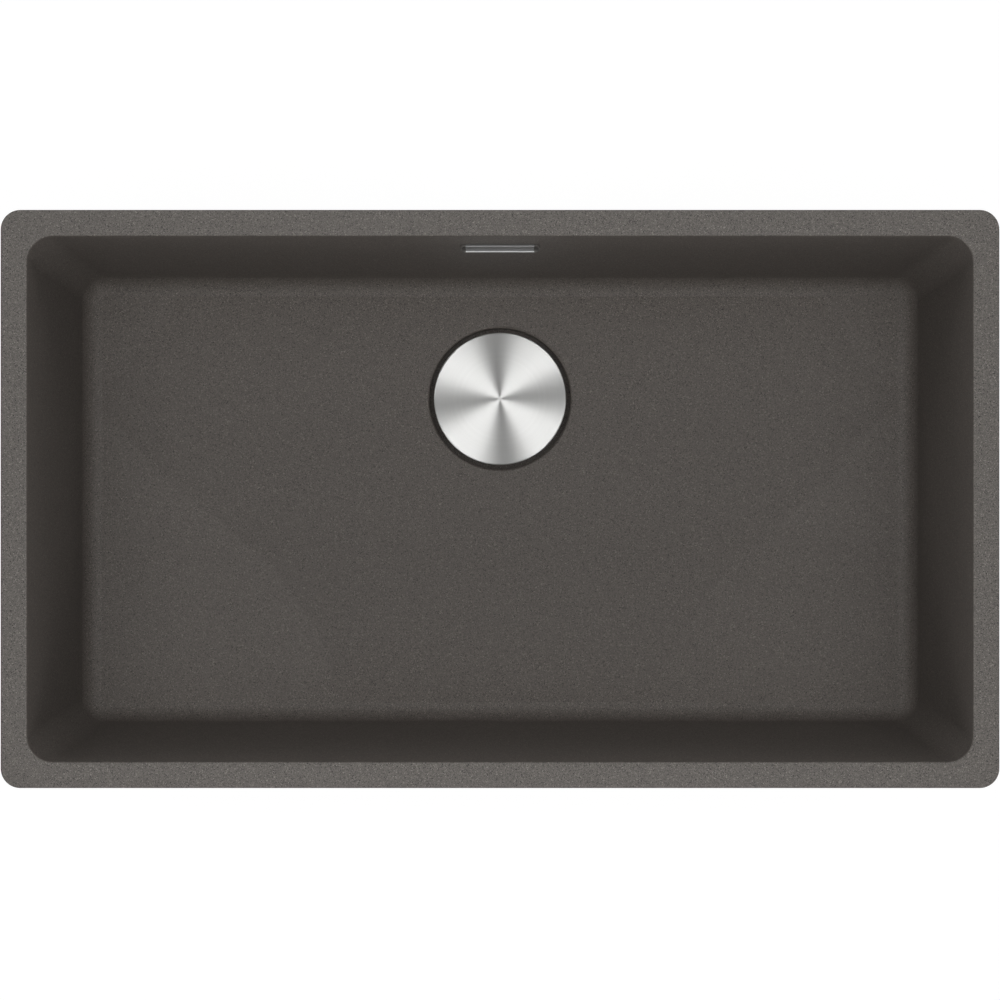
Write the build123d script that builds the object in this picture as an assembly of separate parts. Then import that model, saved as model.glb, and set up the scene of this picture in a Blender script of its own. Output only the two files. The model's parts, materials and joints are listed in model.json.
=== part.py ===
from build123d import *
import os
from math import atan2, cos, degrees, radians, sin, tan

# Undermount kitchen sink moulded in granite composite, with its basket strainer waste and its
# overflow. Millimetres and degrees. The origin is the middle of the bowl's mouth, in the plane of
# the rim's top face: +X to the right, +Y to the back wall that has the overflow, +Z up.

# Bowl and rim
BOWL_LENGTH = 720.0
BOWL_WIDTH = 400.0
BOWL_DEPTH = 200.0
BOWL_CORNER_R = 20.0
BOWL_FOOT_R = 15.5
WALL_DRAFT = 5.6
WALL = 9.0
FLOOR = 10.0
FLOOR_RISE = 3.0
RIM_WIDTH = 20.0
RIM_THICKNESS = 12.0
RIM_CORNER_R = 15.0
RIM_EDGE_R = 1.5
LEDGE_FILLET_R = 4.0

# Recess for the waste in the bowl's floor, WASTE_OFFSET behind the bowl's middle
WASTE_OFFSET = 82.5
RECESS_R = 58.0
RECESS_DEPTH = 14.0
RECESS_EDGE_R = 2.5
WASTE_HOLE_R = 45.0
WASTE_LEDGE = 10.0
BOSS_MARGIN = 16.0
BOSS_FILLET_R = 5.0

# Pressed steel strainer cup, with the rubber rings above and below the granite ledge
SHEET = 1.2
SEAL_THICKNESS = 2.0
SEAL_INSET = 2.0
FLANGE_CLEARANCE = 5.0
CUP_CLEARANCE = 1.0
CUP_DEPTH = 41.0
CUP_CORNER_R = 6.0
CUP_LIP_R = 1.0
HUB_WELL_R = 10.0
HUB_WELL_DEPTH = 5.0
OPENING_R = 21.0
OPENING_COUNT = 6
OPENING_WEB = 4.0
OPENING_MARGIN = 1.5

# Clamp screw with its guide post, and the brass insert that takes its thread
CLAMP_R = 4.0
CLAMP_LENGTH = 17.0
CLAMP_CLEARANCE = 0.3
THREAD_GAP = 0.05
CLAMP_HEAD_R = 8.5
CLAMP_HEAD_HEIGHT = 4.0
POST_R = 4.0
POST_HEIGHT = 22.0
POST_EDGE_R = 0.8
HEX_ACROSS = 4.0
HEX_DEPTH = 5.0
POST_RING_DROP = 9.0
POST_RING_WIRE_R = 0.8
INSERT_R = 6.5
INSERT_LENGTH = 14.0

# Strainer basket with its stopper, stem and nut
STOPPER_LAND = 5.0
STOPPER_THICKNESS = 8.0
STOPPER_EDGE_R = 1.5
STOPPER_POCKET_DEPTH = 4.0
BASKET_SHEET = 0.9
BASKET_FOOT_R = 34.0
BASKET_MOUTH_R = 39.0
BASKET_CORNER_R = 3.0
BASKET_LIP = 1.8
BASKET_DROP = 2.5
PERFORATION_R = 1.9
PERFORATION_PITCH = 6.6
PERFORATION_COUNT = 30
FOOT_PERFORATION_R = 1.6
FOOT_PERFORATION_COUNT = 30
STEM_R = 8.0
STEM_FIT = 0.1
STEM_FLANGE_R = 13.0
STEM_FLANGE_THICKNESS = 2.0
POST_FIT = 0.06
POST_END_GAP = 1.0
GRIP_R = 14.0
GRIP_THICKNESS = 4.0
GRIP_EDGE_R = 1.5
GRIP_GAP = 0.5
NUT_THICKNESS = 3.2
NUT_R = 11.5
NUT_CLEARANCE = 1.0
NUT_GAP = 0.5

# Cover over the waste, with its ribbed carrier
COVER_R = 54.4
COVER_PROUD = 1.0
COVER_SHEET = 1.5
COVER_SKIRT = 5.0
COVER_EDGE_R = 0.9
CARRIER_THICKNESS = 2.5
CARRIER_FIT = 0.1
COVER_SOCKET_WALL = 2.4
COVER_SOCKET_DEPTH = 9.0
COVER_FIT = 0.08
CARRIER_RIB = 1.6
CARRIER_RIB_HEIGHT = 3.5
CARRIER_RIB_COUNT = 8
CARRIER_RIB_MARGIN = 4.0
GRIP_RING_WIRE_R = 1.0
GRIP_RING_DROP = 4.0
RING_PROUD = 0.03
RING_GROOVE_PLAY = 0.2

# Waste body under the granite, with its outlet, hub and overflow inlet
BODY_WALL = 3.0
BODY_GAP = 4.0
BODY_FLANGE_WIDTH = 15.0
BODY_FLANGE_THICKNESS = 5.0
BODY_DEPTH = 36.0
FUNNEL_HEIGHT = 18.0
OUTLET_R = 23.9
OUTLET_BORE_R = 20.0
OUTLET_LENGTH = 25.0
HUB_R = 10.0
HUB_LENGTH = 20.0
HUB_ARM = 4.0
HUB_ARM_DROP = 3.0
HUB_ARM_COUNT = 3
GUSSET = 3.0
GUSSET_COUNT = 12
GUSSET_HEIGHT = 14.0
GUSSET_MARGIN = 2.0

# Flat overflow duct, with a rubber sleeve in the socket at each end
DUCT_WIDTH = 40.0
DUCT_THICKNESS = 12.0
DUCT_WALL = 1.6
DUCT_BEND_R = 28.0
DUCT_CLEARANCE = 0.8
DUCT_SEAL = 1.5
DUCT_SEAL_LENGTH = 9.0
SOCKET_WALL = 2.0
SOCKET_DEPTH = 14.0
SOCKET_DROP = 2.0

# Overflow through the back wall, OVERFLOW_DEPTH below the rim
OVERFLOW_DEPTH = 40.0
OVERFLOW_SLOT_LENGTH = 60.0
OVERFLOW_SLOT_HEIGHT = 7.0
GASKET = 2.0
HOUSING_LENGTH = 76.0
HOUSING_HEIGHT = 26.0
HOUSING_CORNER_R = 8.0
HOUSING_FLANGE = 3.0
CHAMBER_LENGTH = 66.0
CHAMBER_HEIGHT = 20.0
CHAMBER_DEPTH = 14.0
CHAMBER_WALL = 2.0
CHAMBER_CORNER_R = 6.0
BEZEL_LENGTH = 61.7
BEZEL_HEIGHT = 9.0
BEZEL_REACH = 4.2
BEZEL_LIP = 1.2
BEZEL_WALL = 0.9
BEZEL_BASE = 0.6
COLLAR_CLEARANCE = 0.3
COLLAR_WALL = 1.0
PLATE_LENGTH = 53.0
PLATE_SHEET = 0.8
PLATE_TOP_RAIL = 2.0
PLATE_FRONT_RAIL = 1.2
PLATE_BEND_R = 0.3
PLATE_GAP = 0.2
FIX_OFFSET = 24.0
FIX_BLOCK = 8.0
FIX_R = 2.0
FIX_CLEARANCE = 0.2
FIX_HEAD_R = 3.5
FIX_HEAD_HEIGHT = 2.6
FIX_HEAD_RECESS = 3.0
FIX_BOSS_R = 5.0
FIX_BOSS_GAP = 0.5
FIX_TIP_GAP = 2.0

# How far a cutting shape runs past the face that it opens
OVERRUN = 1.0
SAME = 1e-4

# Bowl, worked out
draft = radians(WALL_DRAFT)
wall_run = WALL / cos(draft)
floor_z = -BOWL_DEPTH
under_z = floor_z - FLOOR
rim_length = BOWL_LENGTH + 2 * RIM_WIDTH
rim_width = BOWL_WIDTH + 2 * RIM_WIDTH
dish_r = ((BOWL_LENGTH / 2) ** 2 + FLOOR_RISE**2) / (2 * FLOOR_RISE)

# Heights of the waste, from the floor down
waste_axis = Location((0, WASTE_OFFSET, 0))
ledge_z = floor_z - RECESS_DEPTH
boss_z = ledge_z - WASTE_LEDGE
flange_z = ledge_z + SEAL_THICKNESS
flange_top = flange_z + SHEET
seat_z = flange_top - CUP_DEPTH
cup_under = seat_z - SHEET
well_z = seat_z - HUB_WELL_DEPTH
hub_z = well_z - SHEET
body_z = boss_z - SEAL_THICKNESS
flange_under = body_z - BODY_FLANGE_THICKNESS
funnel_z = body_z - BODY_DEPTH
outlet_z = funnel_z - FUNNEL_HEIGHT
bottom_z = outlet_z - OUTLET_LENGTH
post_top = seat_z + POST_HEIGHT
basket_z = seat_z + STOPPER_THICKNESS
basket_top = flange_top - BASKET_DROP
stem_z = seat_z + NUT_GAP
cover_top = floor_z + COVER_PROUD
cover_under = cover_top - COVER_SHEET
stem_top = cover_under - CARRIER_THICKNESS
socket_end = stem_top - COVER_SOCKET_DEPTH
grip_top = socket_end - GRIP_GAP

# Radii of the waste
boss_r = RECESS_R + BOSS_MARGIN
flange_r = RECESS_R - FLANGE_CLEARANCE
cup_r = WASTE_HOLE_R - CUP_CLEARANCE
cup_bore_r = cup_r - SHEET
well_outer_r = HUB_WELL_R + SHEET
clamp_hole_r = CLAMP_R + CLAMP_CLEARANCE
stopper_r = OPENING_R + STOPPER_LAND
stem_hole_r = STEM_R + STEM_FIT
stem_bore_r = POST_R + POST_FIT
body_bore_r = cup_r + BODY_GAP
body_r = body_bore_r + BODY_WALL
body_flange_r = body_r + BODY_FLANGE_WIDTH
cover_socket_r = STEM_R + COVER_FIT
carrier_r = COVER_R - COVER_SHEET - CARRIER_FIT

# Overflow, worked out. On the wall's plane x runs to the right, y up the wall and z into the bowl.
overflow_z = -OVERFLOW_DEPTH
wall_plane = Plane(
    origin=(0, BOWL_WIDTH / 2 - OVERFLOW_DEPTH * tan(draft), overflow_z),
    x_dir=(1, 0, 0),
    z_dir=(0, -cos(draft), sin(draft)),
)
gasket_plane = wall_plane.offset(-WALL)
housing_plane = wall_plane.offset(-WALL - GASKET)
chamber_back = WALL + GASKET + CHAMBER_DEPTH
collar_length = OVERFLOW_SLOT_LENGTH - 2 * COLLAR_CLEARANCE
collar_height = OVERFLOW_SLOT_HEIGHT - 2 * COLLAR_CLEARANCE
mouth_length = BEZEL_LENGTH - 2 * BEZEL_WALL
mouth_height = BEZEL_HEIGHT - 2 * BEZEL_WALL
mouth_tilt = degrees(atan2(BEZEL_REACH, BEZEL_HEIGHT))
mouth_plane = wall_plane.offset(BEZEL_LIP + BEZEL_REACH / 2).rotated((-mouth_tilt, 0, 0))
bezel_section = Plane(origin=wall_plane.origin, x_dir=wall_plane.z_dir, z_dir=(-1, 0, 0))

# Duct, worked out: down behind the wall, then forward to the waste body
socket_thickness = DUCT_THICKNESS + 2 * (DUCT_SEAL + SOCKET_WALL)
upper_socket_z = overflow_z - HOUSING_HEIGHT / 2 - SOCKET_DROP
upper_stop_z = upper_socket_z - SOCKET_WALL
wall_back_y = BOWL_WIDTH / 2 + upper_socket_z * tan(draft) + wall_run
duct_y = wall_back_y + DUCT_CLEARANCE + socket_thickness / 2
duct_z = flange_under - SOCKET_DROP - socket_thickness / 2
lower_stop_y = WASTE_OFFSET + body_r + SOCKET_WALL


def turned(*corners):
    """A piece turned about the waste's axis, from corners (radius, height, fillet) of its half section."""
    points = [(corner[0], 0, corner[1]) for corner in corners]
    fillets = [corner[2] if len(corner) > 2 else 0 for corner in corners]
    section = make_face(FilletPolyline(*points, radius=fillets, close=True))
    return waste_axis * revolve(section, axis=Axis.Z)


def ring(inner_r, outer_r, low_z, high_z):
    """A flat ring about the waste's axis."""
    return turned((inner_r, low_z), (outer_r, low_z), (outer_r, high_z), (inner_r, high_z))


def cord_ring(shaft_r, wire_r, height):
    """An O-ring in its groove on a shaft of the waste, standing RING_PROUD of the shaft."""
    centre = (shaft_r + RING_PROUD - wire_r, 0, height)
    wire = Plane(origin=centre, z_dir=(0, 1, 0)) * Circle(wire_r)
    return waste_axis * revolve(wire, axis=Axis.Z)


def ring_groove(shaft_r, wire_r, height):
    """The space to cut from a shaft for a cord_ring."""
    half = wire_r + RING_GROOVE_PLAY / 2
    return ring(shaft_r + RING_PROUD - 2 * wire_r, shaft_r + OVERRUN, height - half, height + half)


def around_waste(count, start=0.0):
    """Equal turns about the waste's axis."""
    return [waste_axis * Rot(Z=start + 360 * step / count) for step in range(count)]


def tapered_block(grow, height, corner_r):
    """A block as wide as the bowl's mouth and grow more on each side, drawn in downwards with the walls."""
    length = BOWL_LENGTH + 2 * grow
    width = BOWL_WIDTH + 2 * grow
    inset = height * tan(draft)
    wedge = Wedge(length, height, width, inset, inset, length - inset, width - inset)
    block = Pos(Z=-height / 2) * Rot(X=-90) * wedge
    upright = [edge for edge in block.edges() if edge.bounding_box().size.Z > height / 2]
    return fillet(upright, corner_r)


def bowl_cavity():
    """The space in the bowl, with a floor that is dished towards the recess round the waste."""
    recess = Pos(Y=floor_z) * Rectangle(2 * RECESS_R, 2 * RECESS_DEPTH)
    section = Pos(Y=floor_z + dish_r) * Circle(dish_r) + recess
    lips = [spot for spot in section.vertices() if abs(spot.X - RECESS_R) < SAME]
    section = fillet(max(lips, key=lambda spot: spot.Y), RECESS_EDGE_R)
    right_half = Rectangle(2 * dish_r, 4 * dish_r, align=(Align.MIN, Align.CENTER))
    dish = waste_axis * revolve(Plane.XZ * (section & right_half), axis=Axis.Z)
    space = tapered_block(0, BOWL_DEPTH + FLOOR + RECESS_DEPTH, BOWL_CORNER_R) & dish
    floor_face = space.faces().filter_by(GeomType.SPHERE)[0]
    return fillet(floor_face.outer_wire().edges(), BOWL_FOOT_R)


def sink_bowl():
    """The moulded bowl with its rim, the boss under its waste hole and its overflow slot."""
    rim = extrude(RectangleRounded(rim_length, rim_width, RIM_CORNER_R), amount=-RIM_THICKNESS)
    shell = tapered_block(wall_run, BOWL_DEPTH + FLOOR, BOWL_CORNER_R + WALL)
    shell = fillet(shell.faces().sort_by(Axis.Z)[0].edges(), BOWL_FOOT_R + WALL)
    body = rim + shell
    ledge = body.faces().filter_by(Axis.Z).sort_by(Axis.Z)[1]
    body = fillet(ledge.inner_wires()[0].edges(), LEDGE_FILLET_R)
    body += ring(0, boss_r, boss_z, under_z + OVERRUN)
    body = fillet(rims(body, boss_r, under_z), BOSS_FILLET_R)
    body -= bowl_cavity()
    body = fillet(body.faces().sort_by(Axis.Z)[-1].edges(), RIM_EDGE_R)
    body -= ring(0, WASTE_HOLE_R, boss_z - OVERRUN, ledge_z + OVERRUN)
    slot = SlotOverall(OVERFLOW_SLOT_LENGTH, OVERFLOW_SLOT_HEIGHT)
    return body - extrude(wall_plane.offset(OVERRUN) * slot, amount=-WALL - 2 * OVERRUN)


def rims(body, radius, height):
    """The circular edges of a body with a radius and at a height."""
    circles = body.edges().filter_by(GeomType.CIRCLE)
    level = [edge for edge in circles if abs(edge.arc_center.Z - height) < SAME]
    return [edge for edge in level if abs(edge.radius - radius) < SAME]


def strainer_cup():
    """The pressed cup: a flange on the ledge, a flat seat, a well for the clamp screw and its openings."""
    cup = turned(
        (flange_r, flange_top),
        (flange_r, flange_z),
        (cup_r, flange_z, CUP_LIP_R),
        (cup_r, cup_under, CUP_CORNER_R + SHEET),
        (well_outer_r, cup_under),
        (well_outer_r, hub_z),
        (clamp_hole_r, hub_z),
        (clamp_hole_r, well_z),
        (HUB_WELL_R, well_z),
        (HUB_WELL_R, seat_z),
        (cup_bore_r, seat_z, CUP_CORNER_R),
        (cup_bore_r, flange_top, CUP_LIP_R + SHEET),
    )
    openings = ring(well_outer_r + OPENING_MARGIN, OPENING_R, cup_under - OVERRUN, seat_z + OVERRUN)
    web = Box(2 * OPENING_R, OPENING_WEB, 2 * CUP_DEPTH, align=(Align.MIN, Align.CENTER, Align.CENTER))
    return cup - (openings - [turn * Pos(Z=seat_z) * web for turn in around_waste(OPENING_COUNT)])


def clamp_screw():
    """The screw that draws cup and waste body together, with the post that guides the basket."""
    head_top = well_z + CLAMP_HEAD_HEIGHT
    screw = turned(
        (0, hub_z - CLAMP_LENGTH),
        (CLAMP_R, hub_z - CLAMP_LENGTH, POST_EDGE_R),
        (CLAMP_R, well_z),
        (CLAMP_HEAD_R, well_z),
        (CLAMP_HEAD_R, head_top, POST_EDGE_R),
        (POST_R, head_top),
        (POST_R, post_top, POST_EDGE_R),
        (0, post_top),
    )
    hexagon = RegularPolygon(HEX_ACROSS / 2, 6, major_radius=False)
    key = waste_axis * Pos(Z=post_top + OVERRUN) * extrude(hexagon, amount=-HEX_DEPTH - OVERRUN)
    return screw - key - ring_groove(POST_R, POST_RING_WIRE_R, post_top - POST_RING_DROP)


def basket():
    """The perforated basket, which stands on the stopper."""
    floor_top = basket_z + BASKET_SHEET
    lip_r = BASKET_MOUTH_R + BASKET_LIP
    lip_z = basket_top - BASKET_LIP
    lip_edge_r = BASKET_LIP / 3
    shell = turned(
        (stem_hole_r, basket_z),
        (BASKET_FOOT_R, basket_z, BASKET_CORNER_R + BASKET_SHEET),
        (BASKET_MOUTH_R, lip_z),
        (lip_r, lip_z, lip_edge_r),
        (lip_r, basket_top, lip_edge_r),
        (BASKET_MOUTH_R - BASKET_SHEET, basket_top, lip_edge_r),
        (BASKET_MOUTH_R - BASKET_SHEET, lip_z),
        (BASKET_FOOT_R - BASKET_SHEET, floor_top, BASKET_CORNER_R),
        (stem_hole_r, floor_top),
    )
    first = floor_top + BASKET_CORNER_R + PERFORATION_PITCH / 2
    rows = int((lip_z - PERFORATION_R - first) / PERFORATION_PITCH) + 1
    outwards = (Align.CENTER, Align.CENTER, Align.MIN)
    drill = Rot(Y=90) * Cylinder(PERFORATION_R, BASKET_MOUTH_R, align=outwards)
    holes = []
    for row in range(rows):
        level = Pos(X=stopper_r, Z=first + row * PERFORATION_PITCH)
        stagger = (row % 2) * 180 / PERFORATION_COUNT
        holes += [turn * level * drill for turn in around_waste(PERFORATION_COUNT, stagger)]
    foot_r = (stopper_r + BASKET_FOOT_R - BASKET_CORNER_R) / 2
    foot_drill = Pos(X=foot_r, Z=basket_z) * Cylinder(FOOT_PERFORATION_R, 4 * BASKET_SHEET)
    holes += [turn * foot_drill for turn in around_waste(FOOT_PERFORATION_COUNT)]
    return shell - holes


def basket_stem():
    """The stem: a bore that runs on the guide post, a finger grip, and the spigot for the cover."""
    floor_top = basket_z + BASKET_SHEET
    flange_end = floor_top + STEM_FLANGE_THICKNESS
    stem = turned(
        (stem_bore_r, stem_z),
        (STEM_R, stem_z),
        (STEM_R, floor_top),
        (STEM_FLANGE_R, floor_top),
        (STEM_FLANGE_R, flange_end, STEM_FLANGE_THICKNESS / 2),
        (STEM_R, flange_end, STEM_FLANGE_THICKNESS),
        (STEM_R, grip_top - GRIP_THICKNESS, GRIP_EDGE_R),
        (GRIP_R, grip_top - GRIP_THICKNESS, GRIP_EDGE_R),
        (GRIP_R, grip_top, GRIP_EDGE_R),
        (STEM_R, grip_top),
        (STEM_R, stem_top, POST_EDGE_R),
        (0, stem_top),
        (0, post_top + POST_END_GAP),
        (stem_bore_r, post_top + POST_END_GAP),
    )
    return stem - ring_groove(STEM_R, GRIP_RING_WIRE_R, stem_top - GRIP_RING_DROP)


def basket_stopper():
    """The rubber stopper, with a pocket under it for the stem's nut."""
    pocket_r = NUT_R + NUT_CLEARANCE
    pocket_z = seat_z + STOPPER_POCKET_DEPTH
    return turned(
        (stem_hole_r, pocket_z),
        (pocket_r, pocket_z),
        (pocket_r, seat_z),
        (stopper_r, seat_z, STOPPER_EDGE_R),
        (stopper_r, basket_z, STOPPER_EDGE_R),
        (stem_hole_r, basket_z),
    )


def stem_nut():
    """The hexagon nut that holds stopper and basket on the stem."""
    top = seat_z + STOPPER_POCKET_DEPTH
    hexagon = RegularPolygon(NUT_R, 6) - Circle(STEM_R + THREAD_GAP)
    return waste_axis * Pos(Z=top - NUT_THICKNESS) * extrude(hexagon, amount=NUT_THICKNESS)


def cover_disc():
    """The spun steel cover with its short skirt."""
    skirt_z = cover_top - COVER_SKIRT
    inner_r = COVER_R - COVER_SHEET
    return turned(
        (0, cover_top),
        (COVER_R, cover_top, COVER_EDGE_R),
        (COVER_R, skirt_z),
        (inner_r, skirt_z),
        (inner_r, cover_under),
        (0, cover_under),
    )


def cover_carrier():
    """The carrier in the cover, with the socket that plugs on the stem and the ribs around it."""
    outer_r = cover_socket_r + COVER_SOCKET_WALL
    carrier = turned(
        (0, cover_under),
        (carrier_r, cover_under),
        (carrier_r, stem_top),
        (outer_r, stem_top),
        (outer_r, socket_end),
        (cover_socket_r, socket_end),
        (cover_socket_r, stem_top),
        (0, stem_top),
    )
    rib_length = carrier_r - CARRIER_RIB_MARGIN - cover_socket_r - COVER_SOCKET_WALL / 2
    rib = Box(rib_length, CARRIER_RIB, CARRIER_RIB_HEIGHT + CARRIER_THICKNESS / 2, align=Align.MIN)
    place = Pos(cover_socket_r + COVER_SOCKET_WALL / 2, -CARRIER_RIB / 2, stem_top - CARRIER_RIB_HEIGHT)
    return carrier + [turn * place * rib for turn in around_waste(CARRIER_RIB_COUNT)]


def duct_section(grow):
    """The duct's outline, grow larger all round."""
    return SlotOverall(DUCT_WIDTH + 2 * grow, DUCT_THICKNESS + 2 * grow)


def lower_socket(grow, start_y, length):
    """A length of the duct's outline along the waste body's inlet."""
    plane = Plane(origin=(0, start_y, duct_z), x_dir=(1, 0, 0), z_dir=(0, 1, 0))
    return extrude(plane * duct_section(grow), amount=length)


def upper_socket(grow, start_z, length):
    """A length of the duct's outline along the overflow housing's outlet, downwards."""
    plane = Plane(origin=(0, duct_y, start_z), x_dir=(1, 0, 0), z_dir=(0, 0, -1))
    return extrude(plane * duct_section(grow), amount=length)


def waste_body():
    """The pot under the sink: flange, gussets, outlet, overflow inlet, and the hub on its arms."""
    outside = turned(
        (0, body_z),
        (body_flange_r, body_z),
        (body_flange_r, flange_under),
        (body_r, flange_under),
        (body_r, funnel_z),
        (OUTLET_R, outlet_z),
        (OUTLET_R, bottom_z),
        (0, bottom_z),
    )
    bore = turned(
        (0, body_z + OVERRUN),
        (body_bore_r, body_z + OVERRUN),
        (body_bore_r, funnel_z),
        (OUTLET_BORE_R, outlet_z),
        (OUTLET_BORE_R, bottom_z - OVERRUN),
        (0, bottom_z - OVERRUN),
    )
    gusset_r = body_flange_r - GUSSET_MARGIN
    corner = Polyline(
        (body_bore_r, 0, flange_under + OVERRUN),
        (gusset_r, 0, flange_under + OVERRUN),
        (gusset_r, 0, flange_under),
        (body_r, 0, flange_under - GUSSET_HEIGHT),
        (body_bore_r, 0, flange_under - GUSSET_HEIGHT),
        close=True,
    )
    gusset = extrude(make_face(corner), amount=GUSSET / 2, both=True)
    turns = around_waste(GUSSET_COUNT, 180 / GUSSET_COUNT)
    inlet_reach = lower_stop_y + SOCKET_DEPTH - WASTE_OFFSET
    inlet = lower_socket(DUCT_SEAL + SOCKET_WALL, WASTE_OFFSET, inlet_reach)
    body = outside + [turn * gusset for turn in turns] + inlet - bore
    body -= lower_socket(-DUCT_WALL, WASTE_OFFSET, inlet_reach)
    body -= lower_socket(DUCT_SEAL, lower_stop_y, SOCKET_DEPTH + OVERRUN)
    arm_height = HUB_LENGTH - HUB_ARM_DROP
    arm = Box(body_bore_r, HUB_ARM, arm_height, align=(Align.MIN, Align.CENTER, Align.MIN))
    arms = [turn * Pos(Z=hub_z - HUB_LENGTH) * arm for turn in around_waste(HUB_ARM_COUNT, 90)]
    hub = ring(0, HUB_R, hub_z - HUB_LENGTH, hub_z)
    hub += [bore & arm for arm in arms]
    hub -= ring(0, INSERT_R, hub_z - INSERT_LENGTH, hub_z + OVERRUN)
    hub -= ring(0, clamp_hole_r, hub_z - HUB_LENGTH - OVERRUN, hub_z)
    return body + hub


def overflow_duct():
    """The flat duct from the overflow housing to the waste body."""
    path = FilletPolyline(
        (0, lower_stop_y, duct_z),
        (0, duct_y, duct_z),
        (0, duct_y, upper_stop_z),
        radius=DUCT_BEND_R,
    )
    start = Plane(origin=(0, lower_stop_y, duct_z), x_dir=(1, 0, 0), z_dir=(0, 1, 0))
    return sweep(start * duct_section(0), path=path) - sweep(start * duct_section(-DUCT_WALL), path=path)


def upper_duct_seal():
    """The sleeve between the duct and the housing's socket."""
    sleeve = upper_socket(DUCT_SEAL, upper_stop_z, DUCT_SEAL_LENGTH)
    return sleeve - upper_socket(0, upper_stop_z, SOCKET_DEPTH)


def lower_duct_seal():
    """The sleeve between the duct and the waste body's socket."""
    sleeve = lower_socket(DUCT_SEAL, lower_stop_y, DUCT_SEAL_LENGTH)
    return sleeve - lower_socket(0, lower_stop_y, SOCKET_DEPTH)


def fix_cylinder(radius, depth, length):
    """Two cylinders on the axes of the overflow's screws, from a depth behind the wall's face inwards."""
    disc = wall_plane.offset(-depth) * Circle(radius)
    return [Pos(X=side * FIX_OFFSET) * extrude(disc, amount=length) for side in (-1, 1)]


def overflow_gasket():
    """The gasket between the wall's outside and the overflow housing."""
    outline = RectangleRounded(HOUSING_LENGTH, HOUSING_HEIGHT, HOUSING_CORNER_R)
    outline -= SlotOverall(OVERFLOW_SLOT_LENGTH, OVERFLOW_SLOT_HEIGHT)
    return extrude(gasket_plane * outline, amount=-GASKET)


def overflow_housing():
    """The flat chamber behind the wall, with its screw bosses and the socket for the duct."""
    flange = RectangleRounded(HOUSING_LENGTH, HOUSING_HEIGHT, HOUSING_CORNER_R)
    chamber = RectangleRounded(CHAMBER_LENGTH, CHAMBER_HEIGHT, CHAMBER_CORNER_R)
    space = RectangleRounded(
        CHAMBER_LENGTH - 2 * CHAMBER_WALL,
        CHAMBER_HEIGHT - 2 * CHAMBER_WALL,
        CHAMBER_CORNER_R - CHAMBER_WALL,
    )
    space = extrude(housing_plane.offset(OVERRUN) * space, amount=CHAMBER_WALL - CHAMBER_DEPTH - OVERRUN)
    stop_length = overflow_z - upper_stop_z
    housing = extrude(housing_plane * flange, amount=-HOUSING_FLANGE)
    housing += extrude(housing_plane * chamber, amount=-CHAMBER_DEPTH)
    housing += upper_socket(0, overflow_z, stop_length)
    housing += upper_socket(DUCT_SEAL + SOCKET_WALL, upper_socket_z, SOCKET_WALL + SOCKET_DEPTH)
    housing -= space
    housing -= upper_socket(-DUCT_WALL, overflow_z, stop_length + OVERRUN)
    housing -= upper_socket(DUCT_SEAL, upper_stop_z, SOCKET_DEPTH + OVERRUN)
    housing += fix_cylinder(FIX_BOSS_R, chamber_back, CHAMBER_DEPTH - FIX_BOSS_GAP)
    housing -= fix_cylinder(FIX_R + FIX_CLEARANCE, chamber_back + OVERRUN, CHAMBER_DEPTH + 2 * OVERRUN)
    head_r = FIX_HEAD_R + FIX_CLEARANCE
    return housing - fix_cylinder(head_r, chamber_back + OVERRUN, FIX_HEAD_RECESS + OVERRUN)


def overflow_screws():
    """The two screws from the housing's back into the bezel."""
    shoulder = chamber_back - FIX_HEAD_RECESS
    heads = fix_cylinder(FIX_HEAD_R, shoulder + FIX_HEAD_HEIGHT, FIX_HEAD_HEIGHT)
    shanks = fix_cylinder(FIX_R, shoulder, shoulder - FIX_TIP_GAP)
    return Compound([(head + shank).solid() for head, shank in zip(heads, shanks)])


def overflow_bezel():
    """The surround in the bowl, cut off aslant, with its collar through the wall and its screw blocks."""
    collar_reach = WALL + GASKET
    reach = BEZEL_LIP + BEZEL_REACH
    mouth = SlotOverall(mouth_length, mouth_height)
    front = extrude(wall_plane * SlotOverall(BEZEL_LENGTH, BEZEL_HEIGHT), amount=reach)
    front -= extrude(wall_plane.offset(BEZEL_BASE) * mouth, amount=reach)
    front = split(front, bisect_by=mouth_plane, keep=Keep.BOTTOM)
    notch = Rectangle(PLATE_LENGTH + 2 * PLATE_GAP, 2 * max(PLATE_SHEET, BEZEL_WALL))
    front -= extrude(wall_plane * Pos(Y=BEZEL_HEIGHT / 2) * notch, amount=reach)
    collar = extrude(wall_plane * SlotOverall(collar_length, collar_height), amount=-collar_reach)
    passage = SlotOverall(collar_length - 2 * COLLAR_WALL, collar_height - 2 * COLLAR_WALL)
    cut = extrude(wall_plane.offset(BEZEL_BASE) * passage, amount=-collar_reach - BEZEL_BASE - OVERRUN)
    block = extrude(wall_plane * Rectangle(FIX_BLOCK, collar_height - COLLAR_WALL), amount=-collar_reach)
    blocks = [Pos(X=side * FIX_OFFSET) * block for side in (-1, 1)]
    bezel = front + collar - cut + blocks
    hole_reach = chamber_back - FIX_HEAD_RECESS - FIX_TIP_GAP
    return bezel - fix_cylinder(FIX_R + THREAD_GAP, chamber_back - FIX_HEAD_RECESS, hole_reach)


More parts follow.
